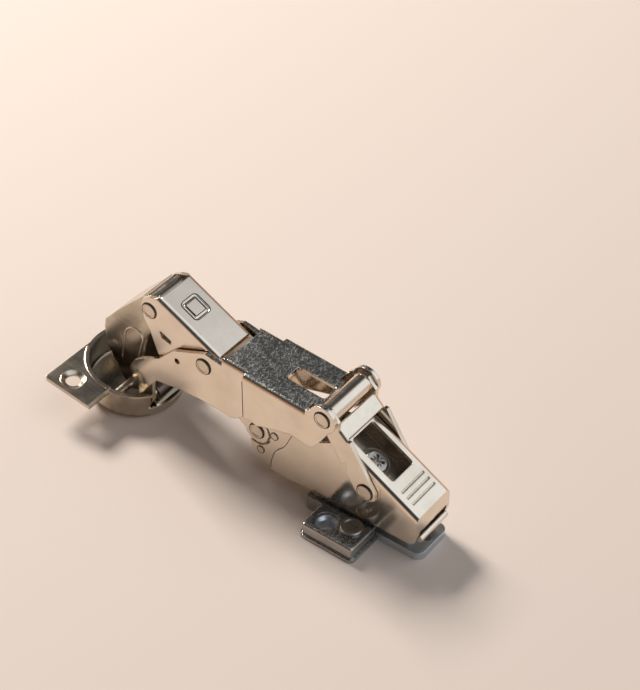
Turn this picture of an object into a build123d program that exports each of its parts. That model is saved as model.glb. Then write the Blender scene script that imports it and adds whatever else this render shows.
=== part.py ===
from build123d import *
import math
import os

os.makedirs("parts", exist_ok=True)

# Concealed cup hinge with a wide opening and a clip-on arm. Millimetres.
# X runs from the cup towards the mounting plate, Z up from the plate's underside.
# The origin lies midway between the two fixing holes of the mounting plate.

# The seven pivots in the X-Z plane, in the resting pose
ARM_FRONT_PIVOT = (-34.7, 20.6)
ARM_REAR_PIVOT = (10.9, 21.7)
LEVER_REAR_PIVOT = (-5.1, 45.3)
CROSS_PIVOT = (-55.1, 39.4)
LINK_TOP_PIVOT = (-79.7, 49.4)
CUP_LINK_PIVOT = (-92.0, 9.9)

# The cup's centre at its flange, and the pin that the long lever turns on in it
CUP_X = -95.6
CUP_Z = 13.6
CUP_R = 17.5
LEVER_PIN_INSET = 6.0
CUP_LEVER_PIVOT = (CUP_X + CUP_R - LEVER_PIN_INSET, 7.8)

# Sheet metal
SHEET = 1.4
LAYER_GAP = 0.2
BEND_R = 1.9

# Outer faces of each layer of sheet, from the centre plane
ARM_HALF = 9.1
BRACKET_HALF = ARM_HALF - SHEET - 0.7
LINK_HALF = 7.0
UPPER_HALF = LINK_HALF + LAYER_GAP + SHEET
LEVER_HALF = UPPER_HALF + 0.65 + SHEET
REAR_HALF = ARM_HALF + LAYER_GAP + SHEET
LEVER_WIDE_HALF = REAR_HALF + LAYER_GAP + SHEET
LUG_HALF = UPPER_HALF + LAYER_GAP

# Pins and their rivet heads
PIN_R = 2.0
CUP_PIN_R = 1.6
RIVET_R = 1.4
PIN_FIT = 0.05
HEAD_FIT = 0.05
HEAD_R = 2.9
HEAD_T = 0.45
DISH_R = 2.2
DISH = 0.18

# Mounting plate
HOLE_SPACING = 32.0
FIX_HOLE_R = 2.8
FIX_SINK_R = 3.8
WING_X0 = -6.4
WING_X1 = 14.1
WING_HALF = 21.8
WING_TOP = 5.8
WING_SHEET = 1.5
RAIL_X0 = -14.0
RAIL_X1 = 31.6
RAIL_HALF = 8.1
RAIL_T = 3.0
RIDGE_X0 = -11.0
RIDGE_X1 = 25.0
RIDGE_HALF = 5.4
RIDGE_TOP = 7.6
RAIL_HOLE_X = 28.6
RAIL_HOLE_R = 1.5
CAM_X = 8.2
CAM_Y = -13.6
CAM_R = 3.9
CAM_SHANK_R = 2.0
CAM_PROUD = 1.0
WING_LIP = 0.6
WING_LIP_T = 1.3
WING_TAB_X = -12.6
WING_TAB_HALF = 10.9

# Arm housing
ARM_BOTTOM = 7.1
ARM_TOP_FRONT = (0.5, 36.5)
ARM_TOP_REAR = (28.4, 20.9)
ARM_REAR_X = 30.4
WELL_START = 1.6
WELL_END = 20.3
WELL_HALF = 5.7
GROOVE_STARTS = (24.6, 27.1, 29.6)
GROOVE_HALF = 6.1
GROOVE_R = 0.45
REAR_WALL_Z = 13.2
NOSE_STEP = 0.5
LUG_R = 5.0
LUG_ROOM = 0.8
SIDE_RIVETS = ((-27.3, 22.2), (-33.2, 12.9))
INNER_RIVET = (9.9, 11.2)

# Inner channel, seat plate and depth screw
INNER_FIT = 0.1
INNER_SHEET = 1.2
INNER_X0 = -9.0
INNER_X1 = 24.0
INNER_TOP_DEPTH = 3.0
DEPTH_TRAVEL = 2.0
SEAT_DEPTH = 8.0
SCREW_ALONG = 12.0
SCREW_HEAD_R = 4.0
SCREW_HEAD_T = 2.2
SCREW_R = 2.0
SCREW_LENGTH = 7.0

# Release lever
RELEASE_PIVOT = (20.6, 13.2)
RELEASE_PIN_R = 1.0
RELEASE_SHEET = 1.2
RELEASE_HALF = ARM_HALF - SHEET - INNER_FIT - INNER_SHEET - 1.4
RELEASE_BAR_HALF = ARM_HALF - SHEET - 0.4
RELEASE_BAR_X = 30.2
RELEASE_BAR_Z = 9.6

# Window and notches in the long lever's top
TOP_LINE_A = (-46.0, 46.5)
TOP_LINE_B = (-13.0, 44.5)
WINDOW_X0 = -26.2
WINDOW_X1 = -10.8
WINDOW_HALF = 3.4
TOP_END_X = -10.4
NOTCH_X = -12.6
TONGUE_HALF = 7.2
JOGGLE_X = -36.0
EAR_R = 5.1
HOOK_CENTRE = (-85.0, 19.9)
HOOK_R = 4.1

# Upper lever's top and its square emboss
UPPER_LINE_A = (-74.0, 55.7)
UPPER_LINE_B = (-50.5, 43.8)
EMBOSS_ALONG = 8.2
EMBOSS_LENGTH = 8.0
EMBOSS_HALF = 3.9
EMBOSS_RIDGE = 1.5
EMBOSS_DROP = 0.6

# Rear link
REAR_ROLL_R = 3.6
REAR_TOP_A = (-0.5, 43.5)
REAR_TOP_B = (3.3, 39.8)
REAR_WINDOW_HALF = 6.5

# Cup, drawn in its own tilted frame
CUP_TILT = -7.3
CUP_DEPTH = 12.0
CUP_WALL = 0.9
CUP_EDGE_R = 2.0
RIM_DROP = 1.5
RIM_T = 1.0
RIM_R = 18.3
FLANGE_T = 1.5
FLANGE_HALF = 28.3
FLANGE_FRONT = -17.3
FLANGE_BACK = 3.2
CUP_HOLE_BACK = -9.5
CUP_HOLE_MARGIN = 5.8
CUP_HOLE_R = 2.7
CUP_SINK_R = 4.1
CUP_SINK_DEPTH = 0.7
LIP_HALF = 9.9
LIP_CUT = 7.6
BOSS_R = 2.5
SPRING_R = 2.6
LIP_ROLL_R = 1.7
LIP_ROLL_HALF = 7.0
SPRING_HALF = 5.0


def between(points, y0, y1):
    """A flat plate with the given X-Z outline, from y0 to y1."""
    return extrude(Plane.XZ.offset(-y1) * Polygon(*points, align=None), amount=y1 - y0)


def disc(centre, radius, y0, y1):
    """A round bar along Y."""
    return extrude(Plane.XZ.offset(-y1) * Pos(centre[0], centre[1]) * Circle(radius), amount=y1 - y0)


def both(shape):
    """The shape and its mirror image across the centre plane."""
    return shape + mirror(shape, about=Plane.XZ)


def slab(x0, x1, y0, y1, z0, z1):
    """A plain block between three pairs of planes."""
    return Pos((x0 + x1) / 2, (y0 + y1) / 2, (z0 + z1) / 2) * Box(x1 - x0, y1 - y0, z1 - z0)


def under_top(along, depth):
    """An X-Z point at a depth under the arm's sloping top."""
    slope = math.atan2(ARM_TOP_REAR[1] - ARM_TOP_FRONT[1], ARM_TOP_REAR[0] - ARM_TOP_FRONT[0])
    x = ARM_TOP_FRONT[0] + along * math.cos(slope) + depth * math.sin(slope)
    z = ARM_TOP_FRONT[1] + along * math.sin(slope) - depth * math.cos(slope)
    return (x, z)


def on_line(a, b):
    """A frame at a with X along the line a-b and Z out of it."""
    slope = math.degrees(math.atan2(b[1] - a[1], b[0] - a[0]))
    return Pos(a[0], 0, a[1]) * Rot(0, -slope, 0)


def bar_under(a, b, half, drop, radius, reach):
    """A long bar whose rounded top runs along the line a-b, its top 'drop' below it."""
    bar = Pos(0, 0, -drop - 40) * Box(2 * reach, 2 * half, 80)
    if radius > 0.05:
        bar = fillet(bar.edges().filter_by(Axis.X).group_by(Axis.Z)[-1], radius)
    return on_line(a, b) * bar


def fold(a, b, half, outline, reach=90):
    """A folded hood: two sides and a top along a-b, cut to the X-Z outline."""
    outer = bar_under(a, b, half, 0, BEND_R, reach)
    inner = bar_under(a, b, half - SHEET, SHEET, BEND_R - SHEET, reach + 5)
    return (outer - inner) & between(outline, -half - 1, half + 1)


def pin(centre, radius, half):
    """A pin along Y between two planes."""
    return disc(centre, radius, -half, half)


def heads(centre, half, radius=HEAD_R, dish=DISH_R):
    """Two rivet heads with shallow dishes, standing on the planes y = +-half."""
    head = disc(centre, radius, half, half + HEAD_T)
    head -= disc(centre, dish, half + HEAD_T - DISH, half + 2)
    return both(head)


def riveted(centre, half, radius=PIN_R):
    """A pin with a head at each end."""
    body = pin(centre, radius, half + HEAD_T - DISH)
    return body + heads(centre, half)


def swivelled(centre, half):
    """A pin whose heads leave the plates under them free to turn."""
    return riveted(centre, half + HEAD_FIT)


def bore(centre, radius=PIN_R):
    """The running hole for a pin."""
    return disc(centre, radius + PIN_FIT, -60, 60)


def seat(centre, radius=PIN_R):
    """The tight hole for a riveted pin."""
    return disc(centre, radius, -60, 60)


cup_place = Pos(CUP_X, 0, CUP_Z) * Rot(0, -CUP_TILT, 0)
arm_place = on_line(ARM_TOP_FRONT, ARM_TOP_REAR)
upper_place = on_line(UPPER_LINE_A, UPPER_LINE_B)
parts = {}

# Mounting plate: a die-cast rail with a ridge for the arm and a block under each wing
rail = slab(RAIL_X0, RAIL_X1, -RAIL_HALF, RAIL_HALF, 0, RAIL_T)
rail = fillet(rail.edges().filter_by(Axis.Z), 3.0)
ridge = slab(RIDGE_X0, RIDGE_X1, -RIDGE_HALF, RIDGE_HALF, 0, RIDGE_TOP)
ridge = chamfer(ridge.edges().filter_by(Axis.Y).group_by(Axis.Z)[-1], 1.0)
block_top = WING_TOP - WING_SHEET
block = slab(
    WING_X0 + WING_SHEET, WING_X1 - WING_SHEET,
    -WING_HALF + WING_SHEET, WING_HALF - WING_SHEET, 0, block_top,
)
plate_base = rail + ridge + block
sink_depth = FIX_SINK_R - FIX_HOLE_R
for hole_y in (-HOLE_SPACING / 2, HOLE_SPACING / 2):
    plate_base -= Pos(0, hole_y, 0) * Cylinder(FIX_HOLE_R, 30)
    plate_base -= Pos(0, hole_y, block_top - sink_depth / 2) * Cone(FIX_HOLE_R, FIX_SINK_R, sink_depth)
plate_base -= Pos(CAM_X, CAM_Y, 0) * Cylinder(CAM_SHANK_R, 30)
plate_base -= Pos(RAIL_HOLE_X, 0, 0) * Cylinder(RAIL_HOLE_R, 30)
parts["plate_base"] = plate_base

# Pressed steel wings, folded down over the blocks
wings = slab(WING_X0, WING_X1, -WING_HALF, WING_HALF, 0, WING_TOP)
wings = fillet(wings.edges().filter_by(Axis.Z), 1.4)
wings = fillet(wings.faces().sort_by(Axis.Z)[-1].edges(), 0.9)
wing_lip = slab(
    WING_X0 - WING_LIP, WING_X1 + WING_LIP, -WING_HALF - WING_LIP, WING_HALF + WING_LIP, 0, WING_LIP_T,
)
wings += fillet(wing_lip.edges().filter_by(Axis.Z), 1.9)
tab = slab(WING_TAB_X, WING_X0 + WING_SHEET, -WING_TAB_HALF, WING_TAB_HALF, 0, WING_TOP)
wings += fillet(tab.edges().filter_by(Axis.Z).group_by(Axis.X)[0], 1.2)
wings -= slab(
    WING_X0 + WING_SHEET, WING_X1 - WING_SHEET,
    -WING_HALF + WING_SHEET, WING_HALF - WING_SHEET, -1, block_top,
)
wings -= slab(WING_X0 - 9, WING_X1 + 9, -RAIL_HALF - LAYER_GAP, RAIL_HALF + LAYER_GAP, -1, 20)
for hole_y in (-HOLE_SPACING / 2, HOLE_SPACING / 2):
    wings -= Pos(0, hole_y, WING_TOP) * Cylinder(FIX_SINK_R + LAYER_GAP, 8)
wings -= Pos(CAM_X, CAM_Y, WING_TOP) * Cylinder(CAM_R + PIN_FIT, 8)
parts["plate_wings"] = wings

# Height cam screw on the near wing
cam = Pos(CAM_X, CAM_Y, (block_top + WING_TOP + CAM_PROUD) / 2)
cam = cam * Cylinder(CAM_R, WING_SHEET + CAM_PROUD)
cam = chamfer(cam.faces().sort_by(Axis.Z)[-1].edges(), 0.3)
cam += Pos(CAM_X, CAM_Y, (block_top + 0.4) / 2) * Cylinder(CAM_SHANK_R, block_top - 0.4)
cam -= Pos(CAM_X, CAM_Y, WING_TOP + CAM_PROUD) * Cylinder(CAM_R - 0.9, 0.8)
cam_cross = Box(1.0, 4.4, 2.2) + Box(4.4, 1.0, 2.2)
cam -= Pos(CAM_X, CAM_Y, WING_TOP + CAM_PROUD) * Rot(0, 0, 25) * cam_cross
parts["height_cam_screw"] = cam

# Arm housing: a folded hood whose top slopes down to the rear
arm_outline = [
    (-36.8, 11.4), (-32.6, 7.8), (-29.0, 6.5), (-17.0, 6.5), (-16.2, ARM_BOTTOM),
    (27.6, ARM_BOTTOM), (29.6, 8.6), (ARM_REAR_X, 12.0), (ARM_REAR_X, 40.0),
    (1.2, 40.0), (1.2, 35.6), (-1.6, 34.7), (-9.0, 30.4), (-26.0, 26.8),
    (-30.2, 24.6), (-34.7, 17.0), (-37.6, 15.2),
]
arm = fold(ARM_TOP_FRONT, ARM_TOP_REAR, ARM_HALF, arm_outline)
arm -= slab(-60, ARM_TOP_FRONT[0], -ARM_HALF + SHEET, ARM_HALF - SHEET, 0, 60)
arm -= both(disc(ARM_FRONT_PIVOT, LUG_R + LUG_ROOM, ARM_HALF - SHEET - 1, ARM_HALF + 1))
nose = [
    (-45.0, 4.0), (-28.8, 4.0), (-28.3, 11.3), (-26.6, 16.2), (-22.8, 20.6), (-19.6, 27.4),
    (-19.0, 31.0), (-45.0, 31.0),
]
arm -= both(between(nose, ARM_HALF - NOSE_STEP, ARM_HALF + 1))
rear_wall = slab(ARM_REAR_X - SHEET, ARM_REAR_X, -ARM_HALF + SHEET, ARM_HALF - SHEET, REAR_WALL_Z, 40)
arm += rear_wall & bar_under(ARM_TOP_FRONT, ARM_TOP_REAR, ARM_HALF, SHEET / 2, BEND_R, 60)
well = Pos((WELL_START + WELL_END) / 2, 0, -5)
well = well * Box(WELL_END - WELL_START, 2 * WELL_HALF, 14)
well = fillet(well.edges().filter_by(Axis.Z), 1.2)
arm -= arm_place * well
for along in GROOVE_STARTS:
    arm -= arm_place * Pos(along, 0, 0.1) * Rot(90, 0, 0) * Cylinder(GROOVE_R, 2 * GROOVE_HALF)
for place in SIDE_RIVETS + (INNER_RIVET,):
    arm -= seat(place, RIVET_R)
arm -= seat(ARM_REAR_PIVOT)
parts["arm_housing"] = arm

# Front bracket: two inner tabs that carry the front pivot, joined below the arm's nose
bracket_outline = [
    (-37.4, 9.4), (-33.0, 8.2), (-22.0, 8.2), (-21.0, 10.0), (-21.0, 22.0),
    (-23.0, 25.0), (-31.0, 25.0), (-36.0, 25.2), (-38.6, 23.2), (-39.4, 20.6), (-38.4, 16.0),
]
bracket = both(between(bracket_outline, BRACKET_HALF - SHEET, BRACKET_HALF))
bracket += slab(-33.0, -21.0, -BRACKET_HALF, BRACKET_HALF, 8.2, 8.2 + SHEET)
bracket -= seat(ARM_FRONT_PIVOT)
for place in SIDE_RIVETS:
    bracket -= seat(place, RIVET_R)
parts["front_bracket"] = bracket

# Two shouldered rivets that hold the bracket in the arm
side_rivets = None
for place in SIDE_RIVETS:
    rivet = pin(place, RIVET_R, ARM_HALF - NOSE_STEP + 0.25)
    rivet += both(disc(place, RIVET_R + 1.0, BRACKET_HALF, ARM_HALF - SHEET))
    side_rivets = rivet if side_rivets is None else side_rivets + rivet
parts["side_rivets"] = side_rivets

# Inner channel on the ridge of the plate, with the sloping seat for the depth screw
inner_half = ARM_HALF - SHEET - INNER_FIT
inner_sides = [
    (INNER_X0, RIDGE_TOP), (INNER_X1, RIDGE_TOP), (INNER_X1, 16.0),
    under_top(WELL_END + INNER_SHEET, INNER_TOP_DEPTH), under_top(0, INNER_TOP_DEPTH),
    (-5.0, 28.0), (INNER_X0, 20.0),
]
inner = both(between(inner_sides, inner_half - INNER_SHEET, inner_half))
inner += slab(INNER_X0, INNER_X1, -inner_half, inner_half, RIDGE_TOP, RIDGE_TOP + INNER_SHEET)
seat_plate = Pos((WELL_START + WELL_END) / 2, 0, -SEAT_DEPTH - INNER_SHEET / 2)
seat_plate = seat_plate * Box(WELL_END - WELL_START, 2 * inner_half, INNER_SHEET)
inner += arm_place * seat_plate
end_height = SEAT_DEPTH + INNER_SHEET - INNER_TOP_DEPTH
end_wall = Pos(WELL_END + INNER_SHEET / 2, 0, -INNER_TOP_DEPTH - end_height / 2)
end_wall = end_wall * Box(INNER_SHEET, 2 * inner_half, end_height)
inner += arm_place * end_wall
inner -= arm_place * Pos(SCREW_ALONG, 0, -SEAT_DEPTH) * Cylinder(SCREW_R + PIN_FIT, 8)
for shift in (-DEPTH_TRAVEL, DEPTH_TRAVEL):
    inner -= disc((INNER_RIVET[0] + shift, INNER_RIVET[1]), RIVET_R + PIN_FIT, -60, 60)
inner -= slab(
    INNER_RIVET[0] - DEPTH_TRAVEL, INNER_RIVET[0] + DEPTH_TRAVEL, -60, 60,
    INNER_RIVET[1] - RIVET_R - PIN_FIT, INNER_RIVET[1] + RIVET_R + PIN_FIT,
)
inner -= disc(RELEASE_PIVOT, RELEASE_PIN_R, -60, 60)
parts["inner_channel"] = inner

# Rivet through the arm, in a slot of the inner channel
parts["channel_rivet"] = pin(INNER_RIVET, RIVET_R, ARM_HALF + 0.15)

# Depth screw, square to the sloping top
screw = Pos(SCREW_ALONG, 0, -SEAT_DEPTH + SCREW_HEAD_T / 2) * Cylinder(SCREW_HEAD_R, SCREW_HEAD_T)
screw = fillet(screw.faces().sort_by(Axis.Z)[-1].edges(), 0.6)
screw += Pos(SCREW_ALONG, 0, -SEAT_DEPTH - SCREW_LENGTH / 2) * Cylinder(SCREW_R, SCREW_LENGTH)
drive = Box(1.1, 5.0, 2.6) + Box(5.0, 1.1, 2.6)
drive += Rot(0, 0, 45) * (Box(0.4, 4.4, 1.0) + Box(4.4, 0.4, 1.0))
screw -= Pos(SCREW_ALONG, 0, -SEAT_DEPTH + SCREW_HEAD_T) * Rot(0, 0, 35) * drive
parts["depth_screw"] = arm_place * screw

# Release lever at the rear of the arm, on its own pin
release_side = [
    (17.6, 10.6), (20.4, 9.6), (28.4, 9.0), (30.9, 8.6), (31.2, 10.4), (28.4, 10.8),
    (24.0, 12.0), (22.6, 14.6), (20.6, 15.4), (18.6, 14.6),
]
release = both(between(release_side, RELEASE_HALF - RELEASE_SHEET, RELEASE_HALF))
release += between(
    [(25.0, 9.2), (28.4, 9.0), (28.4, 10.4), (25.0, 10.6)], -RELEASE_HALF, RELEASE_HALF
)
release += disc((RELEASE_BAR_X, RELEASE_BAR_Z), 1.3, -RELEASE_BAR_HALF, RELEASE_BAR_HALF)
release -= disc(RELEASE_PIVOT, RELEASE_PIN_R + PIN_FIT, -60, 60)
parts["release_lever"] = release
parts["release_pin"] = pin(RELEASE_PIVOT, RELEASE_PIN_R, inner_half)

# Return spring of the release lever, round its pin
spring_half = RELEASE_HALF - RELEASE_SHEET - LAYER_GAP
spring = disc(RELEASE_PIVOT, 2.0, -spring_half, spring_half)
spring -= disc(RELEASE_PIVOT, RELEASE_PIN_R + 0.15, -60, 60)
spring += slab(14.6, 20.6, spring_half - 0.8, spring_half, RELEASE_PIVOT[1] - 2.0, RELEASE_PIVOT[1] - 1.3)
parts["release_spring"] = spring

# Rear link: two strips and a short top, rolled round the rear pivot
rear_outline = [
    (-8.6, 43.0), (-3.4, 36.5), (7.2, 20.0), (9.0, 17.9), (12.4, 17.7), (14.9, 20.0),
    (14.8, 22.8), (4.2, 40.2), (2.8, 42.2), (-1.0, 46.4), (-3.0, 49.0), (-6.4, 49.2), (-9.0, 46.8),
]
rear = both(between(rear_outline, REAR_HALF - SHEET, REAR_HALF))
rear_hood = bar_under(REAR_TOP_A, REAR_TOP_B, REAR_HALF, 0, BEND_R, 12)
rear = rear & (rear_hood + slab(-20, REAR_TOP_A[0] + 0.6, -20, 20, 0, 60) + slab(3.4, 30, -20, 20, 0, 39.4))
rear_top = rear_hood - bar_under(REAR_TOP_A, REAR_TOP_B, REAR_HALF - SHEET, SHEET, 0.4, 20)
rear -= slab(-5, REAR_TOP_A[0] + 0.3, -REAR_WINDOW_HALF, REAR_WINDOW_HALF, 30, 60)
top_length = math.hypot(REAR_TOP_B[0] - REAR_TOP_A[0], REAR_TOP_B[1] - REAR_TOP_A[1])
rear += rear_top & (on_line(REAR_TOP_A, REAR_TOP_B) * slab(0, top_length, -20, 20, -3, 1))
rear += disc(LEVER_REAR_PIVOT, REAR_ROLL_R, -REAR_HALF, REAR_HALF)
rear -= seat(LEVER_REAR_PIVOT)
rear -= bore(ARM_REAR_PIVOT)
parts["rear_link"] = rear
parts["rear_link_pin"] = pin(LEVER_REAR_PIVOT, PIN_R, REAR_HALF - 0.1)
arm_rivet_end = REAR_HALF + HEAD_FIT + HEAD_T - DISH
arm_rivets = both(disc(ARM_REAR_PIVOT, PIN_R, ARM_HALF - SHEET, arm_rivet_end))
parts["arm_rear_rivets"] = arm_rivets + heads(ARM_REAR_PIVOT, REAR_HALF + HEAD_FIT)

# Long lever: narrow towards the cup, stepped out to pass the arm, window in the top
lever_outline = [
    (-46.0, 60.0), (-47.3, 43.9), (-54.4, 45.1), (-67.6, 39.3), (-69.0, 38.1),
    (-75.1, 31.9), (-79.3, 29.8), (-83.0, 28.0), (-86.2, 25.6), (-88.2, 22.6),
    (-85.0, 15.8), (-80.3, 16.9), (-76.8, 21.0),
    (-73.2, 21.6), (-66.4, 23.0), (-57.6, 23.4), (-48.9, 23.2), (-44.2, 22.4),
    (-41.6, 23.7), (-37.3, 27.5), (-34.1, 28.1), (-32.0, 27.1), (-29.5, 28.1),
    (-17.9, 31.6), (-13.8, 31.0), (-11.4, 30.5), (-9.0, 31.0), (-6.6, 34.0),
    (-1.2, 43.0), (-0.1, 46.0), (-1.6, 48.8), (-4.6, 50.3), (-7.6, 49.7),
    (-9.9, 47.0), (NOTCH_X + 0.8, 45.6), (NOTCH_X, 60.0),
]
narrow = fold(TOP_LINE_A, TOP_LINE_B, LEVER_HALF, lever_outline) & slab(-120, JOGGLE_X, -20, 20, 0, 80)
narrow -= slab(-120, TOP_LINE_A[0], -LEVER_HALF + SHEET, LEVER_HALF - SHEET, 0, 80)
lever_fold = bar_under(TOP_LINE_A, TOP_LINE_B, LEVER_WIDE_HALF, 0, BEND_R, 90)
lever_core = bar_under(TOP_LINE_A, TOP_LINE_B, LEVER_WIDE_HALF - SHEET, SHEET, BEND_R - SHEET, 95)
lever_silhouette = between(lever_outline, -20, 20)
wide = (lever_fold - lever_core) & lever_silhouette & slab(JOGGLE_X - SHEET, 20, -20, 20, 0, 80)
wide -= slab(NOTCH_X, 20, -LEVER_WIDE_HALF + SHEET, LEVER_WIDE_HALF - SHEET, 0, 80)
narrow_core = bar_under(TOP_LINE_A, TOP_LINE_B, LEVER_HALF - SHEET, SHEET, BEND_R - SHEET, 95)
joggle = (lever_fold - narrow_core) & lever_silhouette & slab(JOGGLE_X - SHEET, JOGGLE_X, -20, 20, 0, 80)
ears = both(between(lever_outline[-12:-1], LEVER_WIDE_HALF - SHEET, LEVER_WIDE_HALF))
ears = ears & slab(NOTCH_X, 20, -20, 20, 0, 80)
ears += both(disc(LEVER_REAR_PIVOT, EAR_R, LEVER_WIDE_HALF - SHEET, LEVER_WIDE_HALF))
tongue = (lever_fold - lever_core) & slab(NOTCH_X - 1, TOP_END_X, -TONGUE_HALF, TONGUE_HALF, 30, 60)
lever = narrow + wide + joggle + ears + tongue
lever += both(disc(HOOK_CENTRE, HOOK_R, LEVER_HALF - SHEET, LEVER_HALF))
window = slab(WINDOW_X0, WINDOW_X1, -WINDOW_HALF, WINDOW_HALF, 40, 52)
lever -= fillet(window.edges().filter_by(Axis.Z), 1.2)
lug_outline = [
    (-87.2, 18.5), (-87.3, 8.6), (-86.2, 5.6), (-84.1, 4.6), (-82.0, 5.6), (-80.9, 8.4),
    (-80.4, 17.2), (-80.6, 21.5), (-86.4, 21.5),
]
lever += both(between(lug_outline, LUG_HALF - SHEET, LUG_HALF))
lever += both(between([(-87.0, 17.5), (-80.6, 17.5), (-80.6, 21.5), (-86.4, 21.5)], LUG_HALF - SHEET, LEVER_HALF))
lever -= bore(CROSS_PIVOT)
lever -= bore(CUP_LEVER_PIVOT, CUP_PIN_R)
lever -= seat(LEVER_REAR_PIVOT)
lever -= seat((-66.8, 35.3), 1.1)
parts["long_lever"] = lever
rear_heads = both(disc(LEVER_REAR_PIVOT, PIN_R, LEVER_WIDE_HALF - SHEET, LEVER_WIDE_HALF + HEAD_T - DISH))
parts["lever_rear_rivets"] = rear_heads + heads(LEVER_REAR_PIVOT, LEVER_WIDE_HALF)

# Upper lever: from the arm's nose up to the link's top, crossing inside the long lever
upper_outline = [
    (-75.5, 60.0), (-76.0, 56.2), (-79.7, 54.9), (-82.2, 53.6), (-83.2, 51.0), (-82.5, 44.8),
    (-80.1, 40.7), (-78.3, 35.0), (-76.4, 30.6),
    (-71.0, 29.4), (-58.0, 32.4), (-50.0, 27.4), (-39.7, 19.6), (-38.8, 17.7), (-36.9, 16.1),
    (-34.7, 15.6), (-32.5, 16.1), (-30.6, 17.7), (-29.7, 20.6), (-30.6, 23.5), (-46.5, 41.4),
    (-50.4, 43.0), (-50.4, 60.0),
]
upper = fold(UPPER_LINE_A, UPPER_LINE_B, UPPER_HALF, upper_outline)
upper -= slab(-95, UPPER_LINE_A[0] - 1.2, -UPPER_HALF + SHEET, UPPER_HALF - SHEET, 0, 80)
upper -= slab(UPPER_LINE_B[0], -20, -UPPER_HALF + SHEET, UPPER_HALF - SHEET, 0, 80)
emboss = Pos(EMBOSS_ALONG, 0, 0) * Box(EMBOSS_LENGTH, 2 * EMBOSS_HALF, 2 * EMBOSS_DROP)
emboss = fillet(emboss.edges().filter_by(Axis.Z), 1.4)
island_length = EMBOSS_LENGTH - 2 * EMBOSS_RIDGE
island_width = 2 * (EMBOSS_HALF - EMBOSS_RIDGE)
emboss -= Pos(EMBOSS_ALONG, 0, 0) * Box(island_length, island_width, 4 * EMBOSS_DROP)
upper -= upper_place * emboss
slot = between([(-76.0, 42.0), (-75.2, 40.0), (-71.2, 38.8), (-70.8, 40.6), (-75.0, 42.6)], -60, 60)
upper -= slot
upper -= seat(CROSS_PIVOT)
upper -= bore(ARM_FRONT_PIVOT)
upper -= seat(LINK_TOP_PIVOT)
parts["upper_lever"] = upper
parts["arm_front_pin"] = swivelled(ARM_FRONT_PIVOT, UPPER_HALF)
parts["cross_pin"] = swivelled(CROSS_PIVOT, LEVER_HALF)
parts["link_top_pin"] = riveted(LINK_TOP_PIVOT, UPPER_HALF)

# Cup link: a folded channel with a bent back, rolled round the top pin
link_back = [
    (-84.0, 52.2), (-89.8, 46.4), (-94.7, 41.6), (-102.2, 33.2), (-102.9, 29.2),
    (-102.2, 21.3), (-100.1, 17.6), (-97.0, 12.0), (-95.6, 9.4),
]
link_front = [
    (-94.2, 6.8), (-91.6, 6.2), (-89.2, 7.4), (-88.4, 10.0), (-87.8, 20.0), (-84.0, 33.0),
    (-78.4, 44.6), (-76.0, 48.4), (-76.4, 51.8), (-78.6, 54.0), (-81.6, 54.2),
]
link = both(between(link_back + link_front, LINK_HALF - SHEET, LINK_HALF))
back_inner = [(x + 0.95, z - 1.05) for x, z in link_back[:4]]
back_inner += [(-101.5, 29.2), (-100.85, 21.6), (-98.85, 18.3), (-97.9, 16.6)]
back_outer = link_back[:7] + [(-99.2, 16.0)]
link += between(back_outer + back_inner[::-1], -LINK_HALF, LINK_HALF)
link += disc(LINK_TOP_PIVOT, PIN_R + SHEET + 1.6, -LINK_HALF, LINK_HALF)
arch = [
    (-96.0, 19.0), (-93.6, 30.5), (-92.2, 33.8), (-89.3, 35.8), (-86.4, 35.0), (-85.4, 32.8),
    (-88.6, 22.0),
]
link -= both(between(arch, LINK_HALF - 0.5, LINK_HALF + 1))
link -= bore(LINK_TOP_PIVOT)
link -= both(disc(CUP_LINK_PIVOT, CUP_PIN_R + 0.3, LINK_HALF - SHEET - 1, LINK_HALF + 1))
link -= both(disc((-98.6, 24.6), 0.8, LINK_HALF - 0.4, LINK_HALF + 1))
parts["cup_link"] = link

# Cup with its flange, rim, bosses for the pins and a low lip at the rear
shell = Pos(0, 0, -RIM_DROP - (CUP_DEPTH - RIM_DROP) / 2) * Cylinder(CUP_R, CUP_DEPTH - RIM_DROP)
shell = fillet(shell.faces().sort_by(Axis.Z)[0].edges(), CUP_EDGE_R)
rim = Pos(0, 0, -RIM_DROP + RIM_T / 2) * Cylinder(RIM_R, RIM_T)
flange = slab(FLANGE_FRONT, FLANGE_BACK, -FLANGE_HALF, FLANGE_HALF, -FLANGE_T, 0)
flange = chamfer(flange.faces().sort_by(Axis.X)[-1].edges().sort_by(Axis.Z)[-1], 0.9)
flange = fillet(flange.edges().filter_by(Axis.Z).group_by(Axis.X)[0], 0.8)
cup = shell + rim + flange
hollow_r = CUP_R - CUP_WALL
hollow = Pos(0, 0, -CUP_DEPTH / 2 + CUP_WALL) * Cylinder(hollow_r, CUP_DEPTH)
hollow = fillet(hollow.faces().sort_by(Axis.Z)[0].edges(), CUP_EDGE_R - CUP_WALL)
hollow += Pos(0, 0, 5) * Cylinder(hollow_r, 10)
cup -= hollow
cup -= slab(8, 30, -LIP_HALF, LIP_HALF, -LIP_CUT, 5)
lip_roll = disc((CUP_R - LIP_ROLL_R - 1.4, -LIP_CUT - 0.6), LIP_ROLL_R, -LIP_ROLL_HALF, LIP_ROLL_HALF)
cup += lip_roll
lever_pin_local = (
    (CUP_LEVER_PIVOT[0] - CUP_X) * math.cos(math.radians(CUP_TILT))
    + (CUP_LEVER_PIVOT[1] - CUP_Z) * math.sin(math.radians(CUP_TILT)),
    (CUP_LEVER_PIVOT[1] - CUP_Z) * math.cos(math.radians(CUP_TILT))
    - (CUP_LEVER_PIVOT[0] - CUP_X) * math.sin(math.radians(CUP_TILT)),
)
boss_face = LUG_HALF + LAYER_GAP
boss = disc(lever_pin_local, BOSS_R, boss_face, 15)
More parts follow.
